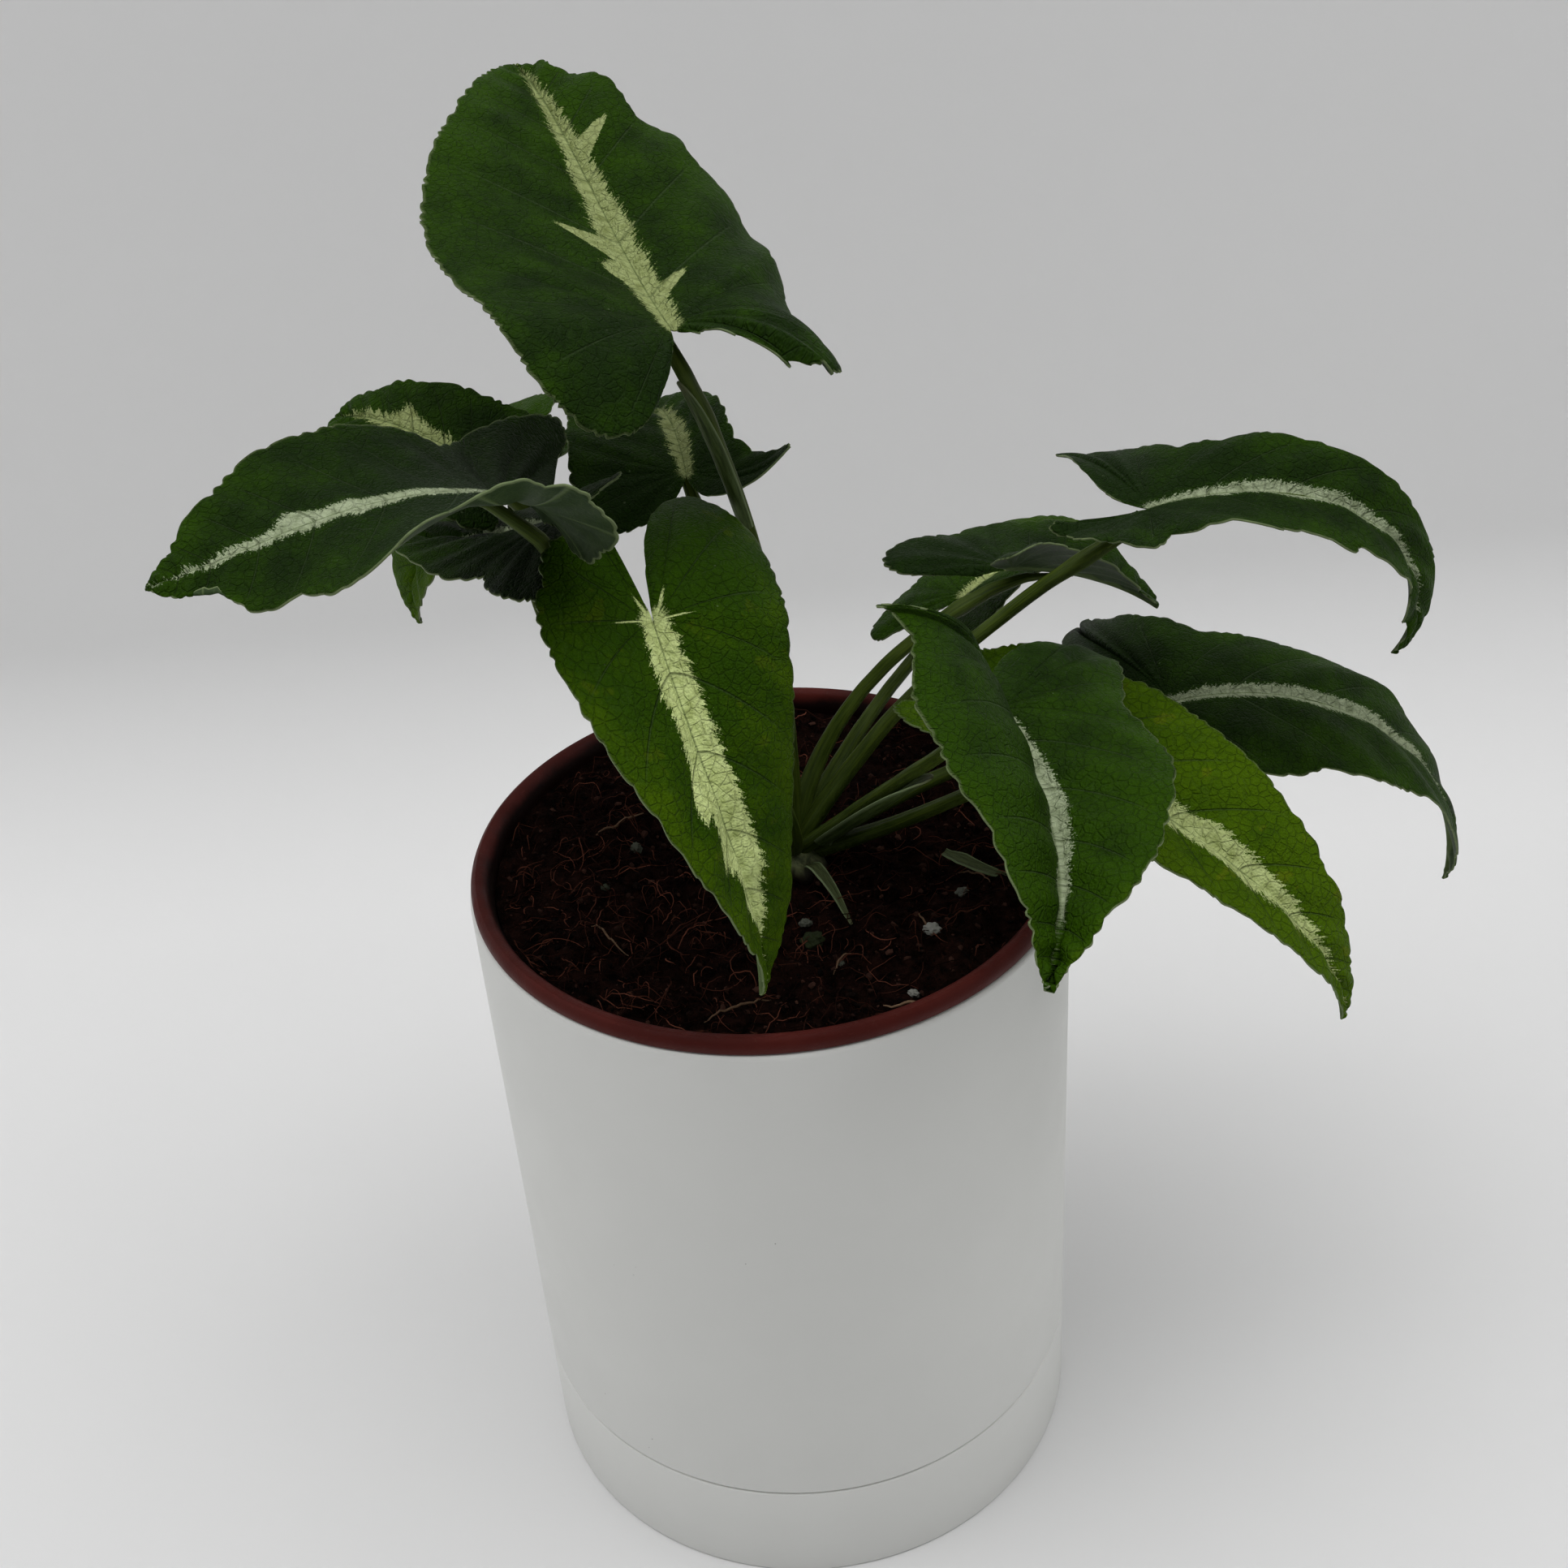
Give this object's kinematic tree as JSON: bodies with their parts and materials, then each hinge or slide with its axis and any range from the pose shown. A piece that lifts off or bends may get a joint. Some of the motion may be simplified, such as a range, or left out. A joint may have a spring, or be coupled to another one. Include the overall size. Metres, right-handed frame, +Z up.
{
  "type": "potted arrowhead plant",
  "caption": "Arrowhead plant with arched pale-veined leaves on long stalks, in a nursery pot hung in a straight white cover pot on a drip tray.",
  "frame": {"origin": "centre of the drip tray's underside, on the surface it stands on", "axes": "+Z up along the pots' axis; +X towards the larger group of leaves, -Y towards the hanging front leaf"},
  "size_m": [0.247, 0.1877, 0.292],
  "materials": {
    "white_glaze": "matte white, smooth",
    "terracotta_plastic": "satin moulded plastic",
    "soil": null,
    "leaf_dark": null,
    "leaf_mid": null,
    "leaf_bright": null,
    "stalk": "smooth green stalk, slightly ribbed",
    "sheath": "thin papery sheath"
  },
  "bodies": {
    "root": {"drip_tray": "white_glaze", "cover_pot": "white_glaze", "nursery_pot": "terracotta_plastic", "soil": "soil", "crown": "stalk", "blade_top": "leaf_dark", "stalk_top": "stalk", "blade_left_front": "leaf_dark", "stalk_left_front": "stalk", "blade_left_back": "leaf_dark", "stalk_left_back": "stalk", "blade_left_hanging": "leaf_mid", "stalk_left_hanging": "stalk", "blade_behind_stalk": "leaf_dark", "stalk_behind_stalk": "stalk", "blade_left_low": "leaf_dark", "stalk_left_low": "stalk", "blade_front": "leaf_mid", "stalk_front": "stalk", "blade_right_top": "leaf_dark", "stalk_right_top": "stalk", "blade_right_inner": "leaf_dark", "stalk_right_inner": "stalk", "blade_right_back": "leaf_mid", "stalk_right_back": "stalk", "blade_right_front": "leaf_dark", "stalk_right_front": "stalk", "blade_right_bright": "leaf_bright", "stalk_right_bright": "stalk", "blade_right_low": "leaf_dark", "stalk_right_low": "stalk", "sheath_top": "sheath", "sheath_right_front": "sheath", "sheath_lance": "sheath", "sheath_dried": "sheath", "bract_small": "sheath"}
  },
  "joints": []
}
